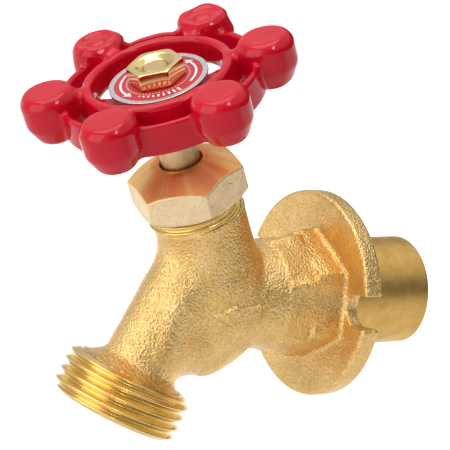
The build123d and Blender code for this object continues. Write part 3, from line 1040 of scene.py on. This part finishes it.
def turned_brass(name, axes, colours, rough, ring_mm, depth_mm, pits=0.0, sheen=0.0):
    """Machined brass: fine tool rings across the axis, and faint stains.

    With a sheen, the colour is a painted reflection instead: streaks of the red wheel that run
    outward from the axis, over the metal's own tint.
    """
    material, nodes, place = new_material(name)
    rotation = Matrix(axes.rows.tolist()).to_euler()
    mapping = nodes.add("ShaderNodeMapping", {"Vector": place}, vector_type="POINT")
    mapping.inputs["Rotation"].default_value = rotation
    stretched = nodes.add("ShaderNodeMapping", {"Vector": mapping.outputs[0]})
    stretched.inputs["Scale"].default_value = (0.06, 0.06, 1.0)
    rings = nodes.noise(stretched.outputs[0], ring_mm, 3.0, 0.7)
    cut = along_cut(nodes, place, axes)
    # With a sheen the noise reads only the cut direction, so the colour runs in radial streaks: a
    # painted reflection of the red wheel.
    tint_pattern = nodes.noise(cut, 250.0, 3.0, 0.6) if sheen else nodes.noise(place, 3.0, 4.0, 0.6)
    colour = nodes.ramp(tint_pattern, [(0.3, colours[0]), (0.7, colours[1])])
    roughness = nodes.ramp(rings, [(0.3, rough), (0.7, rough + 0.1)])
    normal = nodes.bump(rings, 0.35, depth_mm)
    if pits:
        grains = nodes.noise(place, 0.45, 2.0, 0.5)
        holes = nodes.ramp(grains, [(0.26, 0.0), (0.44, 1.0)])
        normal = nodes.bump(holes, pits, 0.12, normal)
    inputs = {"Base Color": colour, "Metallic": 1.0, "Roughness": roughness, "Normal": normal}
    if sheen:
        inputs["Anisotropic"] = sheen
        inputs["Tangent"] = cut
    close_material(nodes, **inputs)
    return material


def red_enamel():
    """Thick glossy enamel over a cast wheel, with a slight orange peel."""
    material, nodes, place = new_material("red_enamel")
    patch = nodes.noise(place, 6.0, 3.0, 0.5)
    colour = nodes.ramp(patch, [(0.3, (0.46, 0.002, 0.012)), (0.7, (0.53, 0.003, 0.018))])
    peel = nodes.noise(place, 1.8, 2.0, 0.5)
    normal = nodes.bump(peel, 0.22, 0.035)
    close_material(
        nodes,
        Base_Color=colour,
        Roughness=0.3,
        Normal=normal,
        Specular_IOR_Level=0.0,
        Coat_Weight=1.0,
        Coat_IOR=1.37,
        Coat_Roughness=0.03,
        Coat_Normal=normal,
    )
    return material


def printed(name, low, high, roughness, metallic=0.0):
    material, nodes, place = new_material(name)
    speck = nodes.noise(place, 0.5, 3.0, 0.6)
    colour = nodes.ramp(speck, [(0.3, low), (0.7, high)])
    normal = nodes.bump(speck, 0.15, 0.02)
    close_material(
        nodes, Base_Color=colour, Roughness=roughness, Metallic=metallic, Normal=normal
    )
    return material


def make_materials():
    gold = ((0.62, 0.37, 0.09), (0.78, 0.50, 0.16))
    # Orange to pale: the cone's brass tint with a painted reflection of the red wheel, in radial
    # streaks.
    copper_and_painted_reflection = ((0.92, 0.42, 0.11), (0.97, 0.74, 0.34))
    amber = ((0.74, 0.50, 0.17), (0.85, 0.62, 0.24))
    beige = ((0.76, 0.56, 0.32), (0.88, 0.69, 0.44))
    drab = ((0.52, 0.36, 0.18), (0.66, 0.48, 0.27))
    yellow = ((0.82, 0.62, 0.26), (0.86, 0.67, 0.32))
    return {
        "cast": cast_brass(),
        "spigot": turned_brass("spigot_brass", INLET, gold, 0.34, 0.25, 0.008),
        "hose": turned_brass("hose_thread_brass", OUTLET, amber, 0.20, 0.3, 0.008),
        "neck": turned_brass("neck_thread_brass", SPINDLE, amber, 0.20, 0.3, 0.008),
        "nut": turned_brass("nut_brass", SPINDLE, beige, 0.36, 0.6, 0.006, pits=0.8),
        "cone": turned_brass("nut_cone_brass", SPINDLE, copper_and_painted_reflection, 0.46, 0.25, 0.012, sheen=0.6),
        "polished": turned_brass("polished_brass", SPINDLE, yellow, 0.10, 0.3, 0.003),
        "stem": turned_brass("stem_brass", SPINDLE, drab, 0.34, 0.25, 0.02, pits=0.4),
        "enamel": red_enamel(),
        "print_red": printed("label_red", (0.42, 0.01, 0.02), (0.50, 0.015, 0.03), 0.35),
        "print_white": printed("label_white", (0.72, 0.68, 0.68), (0.84, 0.80, 0.80), 0.5),
        "silver": printed("label_rim", (0.60, 0.58, 0.60), (0.74, 0.72, 0.74), 0.32, 1.0),
        "rubber": printed("seat_rubber", (0.02, 0.02, 0.02), (0.035, 0.035, 0.035), 0.7),
        "packing": printed("graphite_packing", (0.03, 0.03, 0.035), (0.06, 0.06, 0.065), 0.6),
    }


# ---------------------------------------------------------------- stage, light and camera


FLOOR_GLOW = 0.6
BACKDROP_SIDE = Vector((-0.58, 0.81, 0.0))


def make_stage():
    """A pale floor below the valve, which glows on the side behind it."""
    bpy.ops.mesh.primitive_grid_add(x_subdivisions=8, y_subdivisions=8, size=16)
    floor = bpy.context.object
    floor.name = "floor"
    floor.location = (0, 0, -0.25)
    material, nodes, place = new_material("floor_paper")
    speck = nodes.noise(place, 400.0, 2.0)
    colour = nodes.ramp(speck, [(0.3, 0.77), (0.7, 0.80)])
    far = nodes.vector("DOT_PRODUCT", place, BACKDROP_SIDE)
    close_material(
        nodes,
        Base_Color=colour,
        Roughness=0.9,
        Emission_Color=nodes.ramp(far, [(0.15, 0.0), (0.45, 1.0)]),
        Emission_Strength=FLOOR_GLOW,
    )
    floor.data.materials.append(material)


DARK_SIDE = Vector((0.64, 0.77, 0.0))


def make_world():
    """A room with a white ceiling, lit walls on one side and dark ones on the other."""
    world = bpy.data.worlds.new("studio")
    bpy.context.scene.world = world
    world.use_nodes = True
    nodes = Nodes(world.node_tree)
    way = nodes.add("ShaderNodeTexCoord").outputs["Generated"]
    height = nodes.add("ShaderNodeSeparateXYZ", {"Vector": way}).outputs["Z"]
    side = nodes.vector("DOT_PRODUCT", way, DARK_SIDE)
    side = nodes.add("ShaderNodeMath", {0: side, 1: 0.5, 2: 0.5}, operation="MULTIPLY_ADD")
    walls = nodes.ramp(side.outputs[0], [(0.36, 0.58), (0.60, 0.07)], "EASE")
    ceiling = nodes.ramp(height, [(0.0, 0.0), (0.42, 0.0), (0.72, 1.0)])
    ground = nodes.ramp(height, [(0.0, 1.0), (0.012, 0.0)])
    room = nodes.blend(ceiling, walls, 0.85)
    colour = nodes.blend(ground, room, 0.9)
    background = nodes.add("ShaderNodeBackground", {"Color": colour, "Strength": 1.06})
    nodes.add("ShaderNodeOutputWorld", {"Surface": background.outputs[0]})


LIGHT_TARGET = Vector((0, -0.03, 0.02))


def add_softbox(name, way, distance, size, power):
    """A rectangular light that stands off in a direction and faces the valve."""
    light = bpy.data.lights.new(name, "AREA")
    light.shape = "RECTANGLE"
    light.size, light.size_y = size
    light.energy = power
    lamp = bpy.data.objects.new(name, light)
    way = Vector(way).normalized()
    lamp.location = LIGHT_TARGET + way * distance
    lamp.rotation_euler = way.to_track_quat("Z", "Y").to_euler()
    bpy.context.scene.collection.objects.link(lamp)


CAMERA_AZIMUTH = 54.55
CAMERA_ELEVATION = 15.27
CAMERA_ROLL = 9.27
CAMERA_PLACE = Vector((0.42803, -0.33146, 0.15851))
CAMERA_LENS = 217.98


def make_camera():
    azimuth, elevation, roll = (
        math.radians(angle) for angle in (CAMERA_AZIMUTH, CAMERA_ELEVATION, CAMERA_ROLL)
    )
    level = Vector((math.cos(azimuth), math.sin(azimuth), 0))
    ahead = Vector(
        (
            -math.sin(azimuth) * math.cos(elevation),
            math.cos(azimuth) * math.cos(elevation),
            -math.sin(elevation),
        )
    )
    upright = level.cross(ahead)
    right = math.cos(roll) * level + math.sin(roll) * upright
    up = math.cos(roll) * upright - math.sin(roll) * level
    data = bpy.data.cameras.new("camera")
    data.lens = CAMERA_LENS
    data.sensor_width = 36.0
    data.clip_start, data.clip_end = 0.01, 40.0
    camera = bpy.data.objects.new("camera", data)
    turn = Matrix((right, up, -ahead)).transposed()
    camera.matrix_world = Matrix.Translation(CAMERA_PLACE) @ turn.to_4x4()
    bpy.context.scene.collection.objects.link(camera)
    bpy.context.scene.camera = camera


# ---------------------------------------------------------------- putting it together


def attach(obj, body, node):
    """Puts a piece on a body, and hides the CAD node that it stands for."""
    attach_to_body(obj, body)
    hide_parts(node)


def dress(node, material):
    """Gives a CAD node that is shown a new material."""
    mesh = frame["nodes"][node].data
    mesh.materials.clear()
    mesh.materials.append(material)


looks = make_materials()

# Each maker with its looks, then the body, the material slot and the CAD node.
for maker, look_names, body, slot, node in (
    (make_casting, ["cast"], "valve_body", "cast_brass", "body"),
    (make_spigot, ["spigot"], "valve_body", "cast_brass", "body"),
    (make_hose_thread, ["hose"], "valve_body", "cast_brass", "body"),
    (make_neck_thread, ["neck"], "valve_body", "cast_brass", "body"),
    (make_packing_nut, ["nut", "cone"], "valve_body", "nut_brass", "packing_nut"),
    (make_handwheel, ["enamel"], "spindle", "red_enamel", "handwheel"),
    (make_label_disc, ["silver", "print_red"], "spindle", "label", "label_plate"),
    (make_label_marks, ["print_white"], "spindle", "label", "label_plate"),
    (make_handle_nut, ["polished"], "spindle", "polished_brass", "handle_nut"),
):
    attach(maker([looks[name] for name in look_names]), body, node)

for node, look in {
    "stem": "stem",
    "packing_gland": "stem",
    "packing_washer": "stem",
    "packing_ring": "packing",
    "disc_holder": "stem",
    "washer_screw": "stem",
    "seat_washer": "rubber",
}.items():
    dress(node, looks[look])

make_stage()
make_world()
add_softbox("key_softbox", (0.05, -1.0, 0.1), 1.3, (1.3, 1.2), 8.4)
add_softbox("small_softbox", (0.8, -0.25, 0.85), 1.2, (0.22, 0.34), 1.9)
add_softbox("top_softbox", (-0.15, -0.35, 1.0), 1.4, (1.2, 1.2), 10.5)
make_camera()
bpy.context.scene.view_settings.view_transform = "Standard"
